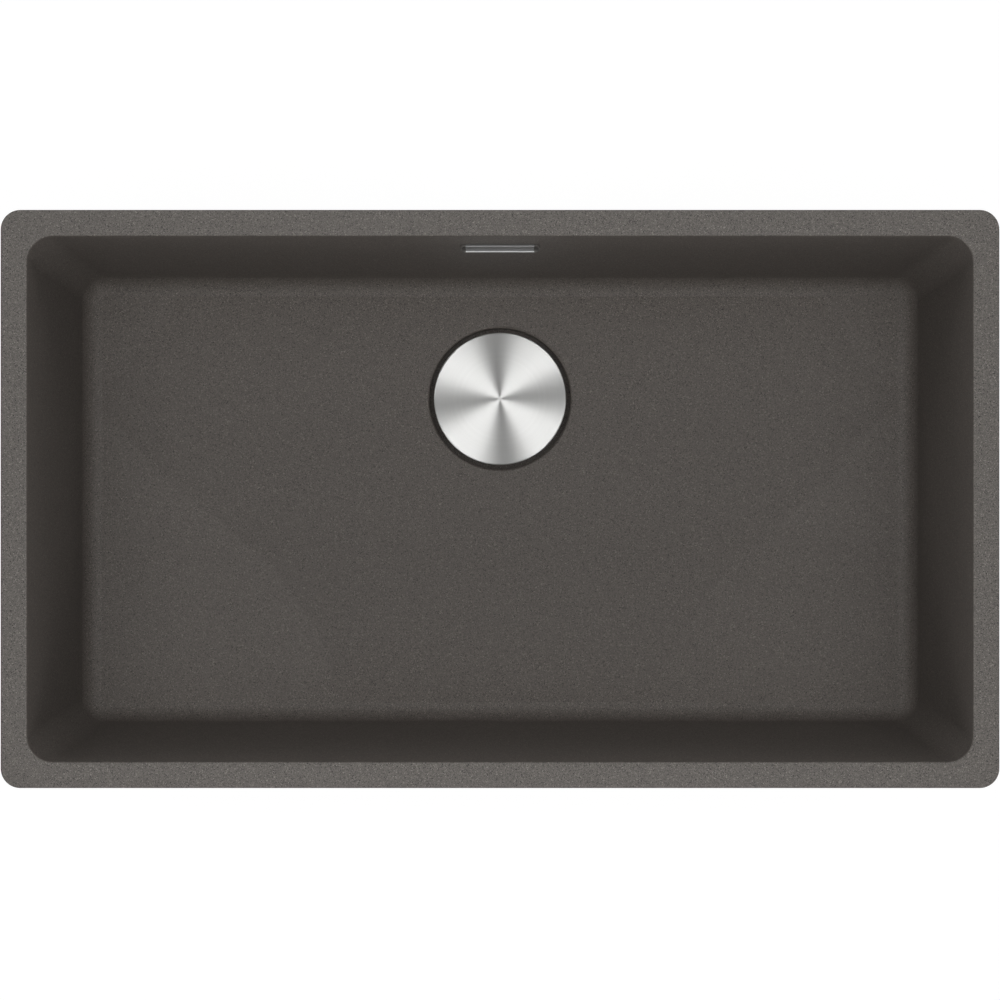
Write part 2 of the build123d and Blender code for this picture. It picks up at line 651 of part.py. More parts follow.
def overflow_plate():
    """The folded steel plate in the bezel's mouth: a rail by the wall, a steep face and a rail in front."""
    top = BEZEL_HEIGHT / 2
    low = PLATE_SHEET - mouth_height / 2
    front = BEZEL_LIP + BEZEL_REACH - BEZEL_WALL * BEZEL_REACH / BEZEL_HEIGHT - PLATE_GAP
    fold_top = PLATE_GAP + PLATE_TOP_RAIL
    fold_low = front - PLATE_FRONT_RAIL
    mitre = PLATE_SHEET * tan(atan2(top - low, fold_low - fold_top) / 2)
    outer_r = PLATE_BEND_R + PLATE_SHEET
    corners = [
        (PLATE_GAP, top, 0),
        (fold_top, top, outer_r),
        (fold_low, low, PLATE_BEND_R),
        (front, low, PLATE_BEND_R),
        (front, low - PLATE_SHEET, 0),
        (fold_low - mitre, low - PLATE_SHEET, outer_r),
        (fold_top - mitre, top - PLATE_SHEET, PLATE_BEND_R),
        (PLATE_GAP, top - PLATE_SHEET, 0),
    ]
    points = [corner[:2] for corner in corners]
    bends = [corner[2] for corner in corners]
    section = make_face(FilletPolyline(*points, radius=bends, close=True))
    return extrude(bezel_section * section, amount=PLATE_LENGTH / 2, both=True)


PIECES = {
    "sink_bowl": sink_bowl,
    "flange_seal": lambda: ring(WASTE_HOLE_R + SEAL_INSET, flange_r - SEAL_INSET, ledge_z, flange_z),
    "strainer_cup": strainer_cup,
    "clamp_screw": clamp_screw,
    "post_ring": lambda: cord_ring(POST_R, POST_RING_WIRE_R, post_top - POST_RING_DROP),
    "basket": basket,
    "basket_stem": basket_stem,
    "basket_stopper": basket_stopper,
    "stem_nut": stem_nut,
    "cover_disc": cover_disc,
    "cover_carrier": cover_carrier,
    "cover_grip_ring": lambda: cord_ring(STEM_R, GRIP_RING_WIRE_R, stem_top - GRIP_RING_DROP),
    "body_seal": lambda: ring(body_bore_r, body_flange_r - SEAL_INSET, body_z, boss_z),
    "waste_body": waste_body,
    "brass_insert": lambda: ring(CLAMP_R + THREAD_GAP, INSERT_R, hub_z - INSERT_LENGTH, hub_z),
    "overflow_plate": overflow_plate,
    "overflow_bezel": overflow_bezel,
    "overflow_gasket": overflow_gasket,
    "overflow_housing": overflow_housing,
    "overflow_screws": overflow_screws,
    "overflow_duct": overflow_duct,
    "upper_duct_seal": upper_duct_seal,
    "lower_duct_seal": lower_duct_seal,
}

os.makedirs("parts", exist_ok=True)
for name, make in PIECES.items():
    export_step(make(), f"parts/{name}.step")
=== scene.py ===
"""Looks of an undermount granite sink: finishes, outlet thread, screw recesses, studio and camera.

Metres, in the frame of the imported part: the origin is the middle of the bowl's mouth in the plane of the
rim, +X to the right, +Y to the wall with the overflow, +Z up.
"""

import json
import logging
from abc import ABC, abstractmethod
from dataclasses import dataclass, field
from enum import Enum
from math import atan2, cos, hypot, pi, radians, sin, tau
from typing import Any, ClassVar, Iterator, Union

import bmesh
import bpy
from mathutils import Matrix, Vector


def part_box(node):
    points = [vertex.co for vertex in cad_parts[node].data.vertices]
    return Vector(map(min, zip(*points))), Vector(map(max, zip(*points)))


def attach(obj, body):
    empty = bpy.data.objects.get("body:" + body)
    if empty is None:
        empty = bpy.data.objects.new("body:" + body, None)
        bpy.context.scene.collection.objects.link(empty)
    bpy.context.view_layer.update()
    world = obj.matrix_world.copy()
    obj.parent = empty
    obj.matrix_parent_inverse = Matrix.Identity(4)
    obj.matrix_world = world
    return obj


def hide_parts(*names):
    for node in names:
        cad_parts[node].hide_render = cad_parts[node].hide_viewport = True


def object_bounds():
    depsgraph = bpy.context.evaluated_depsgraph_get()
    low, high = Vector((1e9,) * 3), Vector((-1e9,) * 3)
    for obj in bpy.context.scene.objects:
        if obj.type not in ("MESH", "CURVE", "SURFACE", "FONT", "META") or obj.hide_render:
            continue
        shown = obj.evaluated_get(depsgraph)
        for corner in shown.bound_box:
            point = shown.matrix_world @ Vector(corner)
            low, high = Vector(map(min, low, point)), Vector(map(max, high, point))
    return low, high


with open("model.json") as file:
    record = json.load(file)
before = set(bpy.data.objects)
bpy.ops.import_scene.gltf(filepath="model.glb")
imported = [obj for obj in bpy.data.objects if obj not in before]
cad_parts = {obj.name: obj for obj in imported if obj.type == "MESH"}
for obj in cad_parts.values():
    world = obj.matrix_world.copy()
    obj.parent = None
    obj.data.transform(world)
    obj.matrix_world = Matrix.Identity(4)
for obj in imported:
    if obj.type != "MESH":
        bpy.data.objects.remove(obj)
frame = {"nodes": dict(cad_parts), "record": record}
cad_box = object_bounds()

log = logging.getLogger("sink")

MM = 0.001

Colour = tuple[float, float, float, float]
Number = Union["Value", float]


def slot_colour(slot: str) -> Colour:
    """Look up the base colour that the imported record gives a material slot.

    Args:
        slot: The slot's name in the record.

    Returns:
        The linear colour with full alpha.
    """
    found = next(entry for entry in frame["record"]["materials"] if entry["slot"] == slot)
    return (*found["base_color"], 1.0)


def shade(colour: Colour, factor: float) -> Colour:
    """Return a colour made lighter or darker by a factor, with full alpha."""
    return (*(min(1.0, channel * factor) for channel in colour[:3]), 1.0)


class Value:
    """A number in a node tree, whose arithmetic adds Math nodes."""

    def __init__(self, graph: "Graph", socket: bpy.types.NodeSocket) -> None:
        """Keep the graph and the socket that carries the number."""
        self.graph = graph
        self.socket = socket

    def _math(self, operation: str, first: Number, second: Number) -> "Value":
        """Return the value of a new Math node."""
        return self.graph.value("ShaderNodeMath", {"operation": operation}, {0: first, 1: second})

    def __add__(self, other: Number) -> "Value":
        """Return this value plus another."""
        return self._math("ADD", self, other)

    def __radd__(self, other: float) -> "Value":
        """Return a number plus this value."""
        return self._math("ADD", other, self)

    def __sub__(self, other: Number) -> "Value":
        """Return this value less another."""
        return self._math("SUBTRACT", self, other)

    def __rsub__(self, other: float) -> "Value":
        """Return a number less this value."""
        return self._math("SUBTRACT", other, self)

    def __mul__(self, other: Number) -> "Value":
        """Return this value times another."""
        return self._math("MULTIPLY", self, other)

    def __rmul__(self, other: float) -> "Value":
        """Return a number times this value."""
        return self._math("MULTIPLY", other, self)

    def larger(self, other: Number) -> "Value":
        """Return the larger of this value and another."""
        return self._math("MAXIMUM", self, other)

    def swing(self, spread: float) -> "Value":
        """Return how far this value of 0 to 1 is from its middle, times a spread."""
        return (self - 0.5) * spread

    def rise(self, low: float, high: float) -> "Value":
        """Blend smoothly from 0 to 1 as this value goes from low to high.

        Args:
            low: Where the blend is 0.
            high: Where the blend is 1; below low, the blend falls instead.

        Returns:
            The blend.
        """
        settings = {"interpolation_type": "SMOOTHSTEP"}
        ends = {"Value": self, "From Min": low, "From Max": high}
        return self.graph.value("ShaderNodeMapRange", settings, ends)


class Graph:
    """The node tree of one material, or of the world."""

    mix_first: ClassVar[int] = 6
    mix_second: ClassVar[int] = 7
    mix_result: ClassVar[int] = 2
    bevel_samples: ClassVar[int] = 4

    def __init__(self, tree: bpy.types.NodeTree) -> None:
        """Start from an empty tree."""
        self.tree = tree
        tree.nodes.clear()

    def node(
        self,
        kind: str,
        settings: dict[str, Any] | None = None,
        sockets: dict[Union[str, int], Any] | None = None,
    ) -> bpy.types.Node:
        """Add a node.

        Args:
            kind: The node's type.
            settings: Its properties, which are set first.
            sockets: Its inputs by name or place, as values, sockets or plain numbers.

        Returns:
            The new node.
        """
        made = self.tree.nodes.new(kind)
        for name, setting in (settings or {}).items():
            setattr(made, name, setting)
        for key, source in (sockets or {}).items():
            if isinstance(source, Value):
                source = source.socket
            if isinstance(source, bpy.types.NodeSocket):
                self.tree.links.new(source, made.inputs[key])
            else:
                made.inputs[key].default_value = source
        return made

    def value(
        self,
        kind: str,
        settings: dict[str, Any] | None = None,
        sockets: dict[Union[str, int], Any] | None = None,
        output: Union[str, int] = 0,
    ) -> Value:
        """Add a node and return one of its outputs as a value."""
        return Value(self, self.node(kind, settings, sockets).outputs[output])

    def mix(self, factor: Number, first: Any, second: Any) -> bpy.types.NodeSocket:
        """Mix two colours.

        Args:
            factor: The second colour's share.
            first: A colour or the socket of one.
            second: A colour or the socket of one.

        Returns:
            The socket of the mixed colour.
        """
        sockets = {"Factor": factor, self.mix_first: first, self.mix_second: second}
        return self.node("ShaderNodeMix", {"data_type": "RGBA"}, sockets).outputs[self.mix_result]

    def shades(self, factor: Number, colour: Colour, tones: tuple[float, float]) -> bpy.types.NodeSocket:
        """Mix two tones of a colour.

        Args:
            factor: The second tone's share.
            colour: The colour.
            tones: How light each tone is, where 1 is the colour itself.

        Returns:
            The socket of the mixed colour.
        """
        first, second = (shade(colour, tone) for tone in tones)
        return self.mix(factor, first, second)

    def place(self, stretch: tuple[float, float, float] = (1.0, 1.0, 1.0)) -> bpy.types.NodeSocket:
        """Return the place on the part in metres, divided along each axis by a stretch."""
        spot = self.node("ShaderNodeTexCoord").outputs["Object"]
        factors = tuple(1.0 / length for length in stretch)
        return self.node("ShaderNodeVectorMath", {"operation": "MULTIPLY"}, {0: spot, 1: factors}).outputs[0]

    def along(self, axis: str) -> Value:
        """Return the place on the part along the X, Y or Z axis, in metres."""
        return self.value("ShaderNodeSeparateXYZ", {}, {0: self.place()}, axis)

    def tint(self, colour: bpy.types.NodeSocket, factor: Value) -> bpy.types.NodeSocket:
        """Return the socket of a colour made lighter or darker by a value."""
        sockets = {0: colour, "Scale": factor}
        return self.node("ShaderNodeVectorMath", {"operation": "SCALE"}, sockets).outputs[0]

    def noise(
        self,
        size: float,
        detail: float = 2.0,
        stretch: tuple[float, float, float] = (1.0, 1.0, 1.0),
    ) -> Value:
        """Return a soft noise of about 0 to 1 whose features have a size in metres."""
        sockets = {"Vector": self.place(stretch), "Scale": 1.0 / size, "Detail": detail}
        return self.value("ShaderNodeTexNoise", {}, sockets)

    def grains(self, size: float) -> tuple[Value, Value]:
        """Pack the surface with grains.

        Args:
            size: A grain's size in metres.

        Returns:
            A number from 0 to 1 of each grain's own, and the distance from the grain's middle.
        """
        sockets = {"Vector": self.place(), "Scale": 1.0 / size}
        packed = self.node("ShaderNodeTexVoronoi", {}, sockets)
        own = self.value("ShaderNodeSeparateColor", {}, {0: packed.outputs["Color"]})
        return own, Value(self, packed.outputs["Distance"])

    def radius(self, centre: tuple[float, float]) -> Value:
        """Return the distance from an upright axis through a centre, in metres."""
        spot = self.node("ShaderNodeTexCoord").outputs["Object"]
        sockets = {0: spot, 1: (*centre, 0.0)}
        arm = self.node("ShaderNodeVectorMath", {"operation": "SUBTRACT"}, sockets).outputs[0]
        flat = self.node("ShaderNodeVectorMath", {"operation": "MULTIPLY"}, {0: arm, 1: (1.0, 1.0, 0.0)})
        length = self.node("ShaderNodeVectorMath", {"operation": "LENGTH"}, {0: flat.outputs[0]})
        return Value(self, length.outputs["Value"])

    def rings(self, radius: Value, width: float, detail: float = 2.0) -> Value:
        """Return a noise of 0 to 1 that changes with the radius alone, in rings of a width."""
        sockets = {"W": radius, "Scale": 1.0 / width, "Detail": detail}
        return self.value("ShaderNodeTexNoise", {"noise_dimensions": "1D"}, sockets)

    def bump(self, height: Value, depth: float, strength: float, edge: float = 0.0) -> bpy.types.NodeSocket:
        """Return the normal of a relief.

        Args:
            height: The relief, from 0 to 1.
            depth: How deep a relief of 1 is, in metres.
            strength: The share of the relief that shows.
            edge: The radius to which the edges under the relief are rounded, in metres.

        Returns:
            The socket of the normal.
        """
        sockets = {"Height": height, "Distance": depth, "Strength": strength}
        if edge:
            settings = {"samples": self.bevel_samples}
            sockets["Normal"] = self.node("ShaderNodeBevel", settings, {"Radius": edge}).outputs[0]
        return self.node("ShaderNodeBump", {}, sockets).outputs[0]


class Finish(ABC):
    """A surface finish, which becomes one material."""

    @abstractmethod
    def surface(self, graph: Graph) -> dict[str, Any]:
        """Return the inputs of the finish's Principled shader, with their nodes added to the graph."""

    def material(self, name: str) -> bpy.types.Material:
        """Make the finish's material under a name."""
        made = bpy.data.materials.new(name)
        made.use_nodes = True
        graph = Graph(made.node_tree)
        shader = graph.node("ShaderNodeBsdfPrincipled", {}, self.surface(graph))
        graph.node("ShaderNodeOutputMaterial", {}, {"Surface": shader.outputs[0]})
        return made


@dataclass(frozen=True)
class Granite(Finish):
    """Granite composite: quartz grains in a tinted resin, matt to the touch, with painted light on the rim's
    top face.
    """

    colour: Colour
    fine_grain: float = 0.38 * MM
    coarse_grain: float = 0.6 * MM
    cloud_size: float = 14 * MM
    fine_contrast: float = 0.78
    coarse_contrast: float = 0.28
    cloud_contrast: float = 0.08
    pale_share: float = 0.04
    pale_gain: float = 0.72
    dark_share: float = 0.05
    dark_loss: float = 0.46
    speck_edge: float = 0.02
    # Painted light: within this depth of the rim's plane, the top face is tinted paler and its grain given
    # more contrast.
    painted_rim_light_depth: float = 0.8 * MM
    painted_rim_light_tint: tuple[float, float, float] = (1.18, 1.22, 1.24)
    painted_rim_light_contrast: float = 0.1
    roughness: float = 0.58
    grain_gloss: float = 0.16
    specular: float = 0.3
    coarse_relief: float = 0.6
    fine_relief: float = 0.4
    relief: float = 0.05 * MM
    relief_strength: float = 0.6

    def surface(self, graph: Graph) -> dict[str, Any]:
        """Mix the grains' tones with rarer pale and dark specks, and paint light on the rim's top face to
        make it paler.
        """
        fine, fine_distance = graph.grains(self.fine_grain)
        coarse, coarse_distance = graph.grains(self.coarse_grain)
        cloud = graph.noise(self.cloud_size)
        pale = coarse.rise(1.0 - self.pale_share - self.speck_edge, 1.0 - self.pale_share)
        dark = coarse.rise(self.dark_share + self.speck_edge, self.dark_share)
        grain = (
            fine.swing(self.fine_contrast)
            + coarse.swing(self.coarse_contrast)
            + cloud.swing(self.cloud_contrast)
            + pale * self.pale_gain
            - dark * self.dark_loss
        )
        # Painted light: the rim's top face is made paler than the rest of the bowl.
        painted_rim_light = graph.along("Z").rise(-self.painted_rim_light_depth, 0.0)
        tone = 1.0 + grain * (1.0 + painted_rim_light * self.painted_rim_light_contrast)
        painted_rim_light_colour = tuple(part * gain for part, gain in zip(self.colour, self.painted_rim_light_tint))
        stone = graph.mix(painted_rim_light, self.colour, (*painted_rim_light_colour, 1.0))
        relief = coarse_distance * self.coarse_relief + fine_distance * self.fine_relief
        return {
            "Base Color": graph.tint(stone, tone),
            "Roughness": self.roughness + fine.swing(self.grain_gloss),
            "Specular IOR Level": self.specular,
            "Normal": graph.bump(relief, self.relief, self.relief_strength),
        }


class Lay(Enum):
    """Which way the lines of a brushed or drawn metal run, as a stretch along X, Y and Z."""

    ALONG = (60.0, 1.0, 1.0)
    UPRIGHT = (1.0, 1.0, 40.0)


@dataclass(frozen=True)
class SpunSteel(Finish):
    """Stainless steel spun on a lathe, with fine concentric grooves about an upright axis."""

    colour: Colour
    centre: tuple[float, float]
    groove: float = 0.22 * MM
    band: float = 2.4 * MM
    groove_share: float = 0.7
    band_share: float = 0.3
    tones: tuple[float, float] = (0.92, 1.08)
    roughness: float = 0.3
    gloss: float = 0.08
    stretch: float = 1.0
    stretch_turn: float = 0.25
    relief: float = 0.002 * MM
    relief_strength: float = 0.5

    def surface(self, graph: Graph) -> dict[str, Any]:
        """Vary tone and gloss from groove to groove, and stretch the gloss across the grooves."""
        radius = graph.radius(self.centre)
        groove = graph.rings(radius, self.groove)
        band = graph.rings(radius, self.band)
        tone = groove * self.groove_share + band * self.band_share
        return {
            "Base Color": graph.shades(tone, self.colour, self.tones),
            "Metallic": 1.0,
            "Roughness": self.roughness + tone.swing(self.gloss),
            "Anisotropic": self.stretch,
            "Anisotropic Rotation": self.stretch_turn,
            "Normal": graph.bump(groove, self.relief, self.relief_strength),
        }


@dataclass(frozen=True)
class SheetSteel(Finish):
    """Stainless steel sheet, with the lines of its brushing or drawing."""

    colour: Colour
    lay: Lay
    line: float = 0.12 * MM
    line_detail: float = 3.0
    cloud_size: float = 9 * MM
    line_share: float = 0.75
    cloud_share: float = 0.25
    tones: tuple[float, float] = (0.86, 1.14)
    roughness: float = 0.3
    line_gloss: float = 0.16
    cloud_gloss: float = 0.1
    relief: float = 0.004 * MM
    relief_strength: float = 0.4
    edge: float = 0.25 * MM

    def surface(self, graph: Graph) -> dict[str, Any]:
        """Draw the lines in tone, gloss and relief, over a soft unevenness."""
        line = graph.noise(self.line, self.line_detail, self.lay.value)
        cloud = graph.noise(self.cloud_size)
        tone = line * self.line_share + cloud * self.cloud_share
        return {
            "Base Color": graph.shades(tone, self.colour, self.tones),
            "Metallic": 1.0,
            "Roughness": self.roughness + line.swing(self.line_gloss) + cloud.swing(self.cloud_gloss),
            "Normal": graph.bump(line, self.relief, self.relief_strength, self.edge),
        }


@dataclass(frozen=True)
class FoldedSteel(SheetSteel):
    """Stainless steel sheet folded to a trim, with painted shade on its face and a painted highlight on the
    lip in front.
    """

    front: float = 0.0
    highlight_lip: float = 0.65 * MM
    highlight_fade: float = 0.25 * MM
    # Painted light: the face's colour is darkened as painted shade and the lip's lightened as a painted
    # highlight.
    face_shade: float = 0.46
    lip_highlight: float = 1.4

    def surface(self, graph: Graph) -> dict[str, Any]:
        """Paint shade on the face and a highlight on the lip in front."""
        inputs = super().surface(graph)
        # Painted shade on the face, blending to a painted highlight on the lip at the front.
        edge = self.front + self.highlight_lip
        highlight_lip = graph.along("Y").rise(edge + self.highlight_fade, edge)
        tone = self.face_shade + highlight_lip * (self.lip_highlight - self.face_shade)
        inputs["Base Color"] = graph.tint(inputs["Base Color"], tone)
        return inputs


@dataclass(frozen=True)
class MouldedPlastic(Finish):
    """Injection-moulded plastic with the fine spark-eroded texture of its mould."""

    colour: Colour
    grain: float = 0.35 * MM
    flow_size: float = 22 * MM
    flow_stretch: tuple[float, float, float] = (1.0, 1.0, 2.5)
    detail: float = 3.0
    tones: tuple[float, float] = (0.88, 1.1)
    roughness: float = 0.42
    grain_gloss: float = 0.2
    flow_gloss: float = 0.12
    relief: float = 0.02 * MM
    relief_strength: float = 0.5
    edge: float = 0.4 * MM

    def surface(self, graph: Graph) -> dict[str, Any]:
        """Give the plastic its texture, and the faint streaks of its flow."""
        grain = graph.noise(self.grain, self.detail)
        flow = graph.noise(self.flow_size, self.detail, self.flow_stretch)
        return {
            "Base Color": graph.shades(flow, self.colour, self.tones),
            "Roughness": self.roughness + grain.swing(self.grain_gloss) + flow.swing(self.flow_gloss),
            "Normal": graph.bump(grain, self.relief, self.relief_strength, self.edge),
        }


@dataclass(frozen=True)
class Rubber(Finish):
    """Black rubber with a dry, slightly bloomed skin."""

    colour: Colour
    grain: float = 0.25 * MM
    bloom_size: float = 6 * MM
    bloom_detail: float = 4.0
    bloom_ends: tuple[float, float] = (0.42, 0.75)
    bloom_share: float = 0.5
    bloom_tones: tuple[float, float] = (1.0, 2.2)
    roughness: float = 0.66
    bloom_gloss: float = 0.14
    grain_gloss: float = 0.1
    relief: float = 0.015 * MM
    relief_strength: float = 0.5
    edge: float = 0.4 * MM

    def surface(self, graph: Graph) -> dict[str, Any]:
        """Lay a pale bloom over the black in soft patches."""
        grain = graph.noise(self.grain)
        bloom = graph.noise(self.bloom_size, self.bloom_detail).rise(*self.bloom_ends)
        return {
            "Base Color": graph.shades(bloom * self.bloom_share, self.colour, self.bloom_tones),
            "Roughness": self.roughness + bloom * self.bloom_gloss + grain.swing(self.grain_gloss),
            "Normal": graph.bump(grain, self.relief, self.relief_strength, self.edge),
        }


@dataclass(frozen=True)
class TurnedBrass(Finish):
    """Brass with fine turning marks and a first dull tarnish."""

    colour: Colour
    mark: float = 0.15 * MM
    mark_stretch: tuple[float, float, float] = (40.0, 40.0, 1.0)
    tarnish_size: float = 4 * MM
    tarnish_detail: float = 3.0
    tarnish_ends: tuple[float, float] = (0.4, 0.8)
    tarnish_share: float = 0.6
    tarnish_tones: tuple[float, float] = (1.0, 0.5)
    roughness: float = 0.26
    tarnish_gloss: float = 0.2
    mark_gloss: float = 0.1
    relief: float = 0.004 * MM
    relief_strength: float = 0.4

    def surface(self, graph: Graph) -> dict[str, Any]:
        """Dull the brass in patches between its turning marks."""
        mark = graph.noise(self.mark, stretch=self.mark_stretch)
        tarnish = graph.noise(self.tarnish_size, self.tarnish_detail).rise(*self.tarnish_ends)
        return {
            "Base Color": graph.shades(tarnish * self.tarnish_share, self.colour, self.tarnish_tones),
            "Metallic": 1.0,
            "Roughness": self.roughness + tarnish * self.tarnish_gloss + mark.swing(self.mark_gloss),
            "Normal": graph.bump(mark, self.relief, self.relief_strength),
        }


@dataclass
class Assembly:
    """A group of the sink's pieces that go together."""

    finishes: ClassVar[dict[str, str]] = {}
    crease: ClassVar[float] = 32.0
    same: ClassVar[float] = 0.002 * MM
    pieces: list[tuple[bpy.types.Object, str]] = field(default_factory=list, init=False)

    def build(self) -> None:
        """Make the group's own meshes, if it has any."""

    def copy_of(self, node: str) -> bmesh.types.BMesh:
        """Return a copy of a node's mesh, with its faces joined up."""
        shape = bmesh.new()
        shape.from_mesh(frame["nodes"][node].data)
        bmesh.ops.remove_doubles(shape, verts=shape.verts, dist=self.same)
        return shape

    def replace(self, node: str, shape: bmesh.types.BMesh, name: str, slot: str) -> None:
        """Put a changed copy of a node's mesh in the node's place.

        Args:
            node: The node, which rides on the sink.
            shape: The changed copy, which is freed.
            name: The new piece's name.
            slot: The new piece's material slot.
        """
        bmesh.ops.recalc_face_normals(shape, faces=shape.faces)
        for face in shape.faces:
            face.smooth = True
        mesh = bpy.data.meshes.new(name)
        shape.to_mesh(mesh)
        shape.free()
        mesh.set_sharp_from_angle(angle=radians(self.crease))
        piece = bpy.data.objects.new(name, mesh)
        bpy.context.scene.collection.objects.link(piece)
        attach(piece, "sink")
        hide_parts(node)
        self.pieces.append((piece, slot))
        log.info("%s is built with %d faces", name, len(mesh.polygons))

    def dress(self, materials: dict[str, bpy.types.Material]) -> None:
        """Give each of the group's nodes and new pieces its material.

        Args:
            materials: The materials by the name of their slot.
        """
        for node, slot in self.finishes.items():
            frame["nodes"][node].material_slots[0].material = materials[slot]
            log.info("%s is dressed in %s", node, slot)
        for piece, slot in self.pieces:
            piece.data.materials.append(materials[slot])
            log.info("%s is dressed in %s", piece.name, slot)


@dataclass
class Bowl(Assembly):
    """The moulded bowl."""

    finishes = {"sink_bowl": "granite"}


@dataclass
class Strainer(Assembly):
    """The pressed cup in the floor's recess, with its clamp screw and seals."""

    finishes = {
        "strainer_cup": "cup_steel",
        "clamp_screw": "cup_steel",
        "flange_seal": "seal_rubber",
        "body_seal": "seal_rubber",
        "post_ring": "seal_rubber",
    }


@dataclass
class Basket(Assembly):
    """The lift-out basket with its stem and stopper."""

    finishes = {
        "basket": "cup_steel",
        "basket_stem": "stem_plastic",
        "basket_stopper": "stopper_rubber",
        "stem_nut": "stem_plastic",
        "cover_grip_ring": "seal_rubber",
    }


@dataclass
class Cover(Assembly):
    """The spun cover over the waste, with the carrier under it."""

    finishes = {"cover_disc": "cover_steel", "cover_carrier": "stem_plastic"}


@dataclass
class WasteBody(Assembly):
    """The pot under the bowl, whose outlet carries a pipe thread."""

    finishes = {"brass_insert": "brass"}
    pitch: float = 2.309 * MM
    depth: float = 1.3 * MM
    rows_per_turn: int = 8
    run_out: float = 4.0 * MM
    lead_in: float = 1.2 * MM
    near: float = 0.02 * MM

    def __post_init__(self) -> None:
        """Read the outlet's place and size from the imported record."""
        outlet = next(mount for mount in frame["record"]["mounts"] if mount["name"] == "waste_outlet")
        self.centre = Vector(outlet["pos_m"])
        self.radius = outlet["dims"]["r_mm"] * MM
        self.length = outlet["dims"]["length_mm"] * MM
        self.top = self.centre.z + self.length / 2
        self.bottom = self.centre.z - self.length / 2

    def thread_radius(self, angle: float, height: float) -> float:
        """Return the thread's radius at an angle and a height."""
        turn = height / self.pitch - angle / tau
        run_out = min(1.0, (self.top - height) / self.run_out)
        lead_in = min(1.0, (height - self.bottom) / self.lead_in)
        groove = (1.0 - cos(tau * turn)) / 2
        return self.radius - self.depth * groove * max(0.0, min(run_out, lead_in))

    def on_outlet(self, vertex: bmesh.types.BMVert) -> bool:
        """Tell whether a vertex lies on the outlet's outside."""
        arm = hypot(vertex.co.x - self.centre.x, vertex.co.y - self.centre.y)
        return abs(arm - self.radius) < self.near and vertex.co.z < self.top + self.near

    def ring_at(self, mesh: bmesh.types.BMesh, height: float) -> list[bmesh.types.BMVert]:
        """Return the outlet's vertices at a height, in order of their angle."""
        found = [v for v in mesh.verts if self.on_outlet(v) and abs(v.co.z - height) < self.near]
        return sorted(found, key=lambda v: atan2(v.co.y - self.centre.y, v.co.x - self.centre.x))

    def cut_thread(self, mesh: bmesh.types.BMesh) -> None:
        """Put a threaded wall in place of the outlet's plain one.

        Args:
            mesh: The waste body's mesh, which is changed.
        """
        plain = [face for face in mesh.faces if all(self.on_outlet(vertex) for vertex in face.verts)]
        bmesh.ops.delete(mesh, geom=plain, context="FACES_ONLY")
        loose = [edge for edge in mesh.edges if not edge.link_faces]
        bmesh.ops.delete(mesh, geom=loose, context="EDGES")
        rings = [self.ring_at(mesh, self.top)]
        angles = [atan2(v.co.y - self.centre.y, v.co.x - self.centre.x) for v in rings[0]]
        rows = round(self.length / self.pitch * self.rows_per_turn)
        for row in range(1, rows):
            height = self.top - self.length * row / rows
            rings.append([self.thread_vertex(mesh, angle, height) for angle in angles])
        rings.append(self.ring_at(mesh, self.bottom))
        for upper, lower in zip(rings, rings[1:]):
            for place in range(len(angles)):
                before = place - 1
                mesh.faces.new((upper[before], lower[before], lower[place], upper[place]))

    def thread_vertex(self, mesh: bmesh.types.BMesh, angle: float, height: float) -> bmesh.types.BMVert:
        """Add a vertex of the thread at an angle and a height."""
        arm = self.thread_radius(angle, height)
        spot = (self.centre.x + arm * cos(angle), self.centre.y + arm * sin(angle), height)
        return mesh.verts.new(spot)

    def build(self) -> None:
        """Make the waste body with its thread, in place of the plain one."""
        body = self.copy_of("waste_body")
        self.cut_thread(body)
        self.replace("waste_body", body, "waste_body_threaded", "waste_plastic")


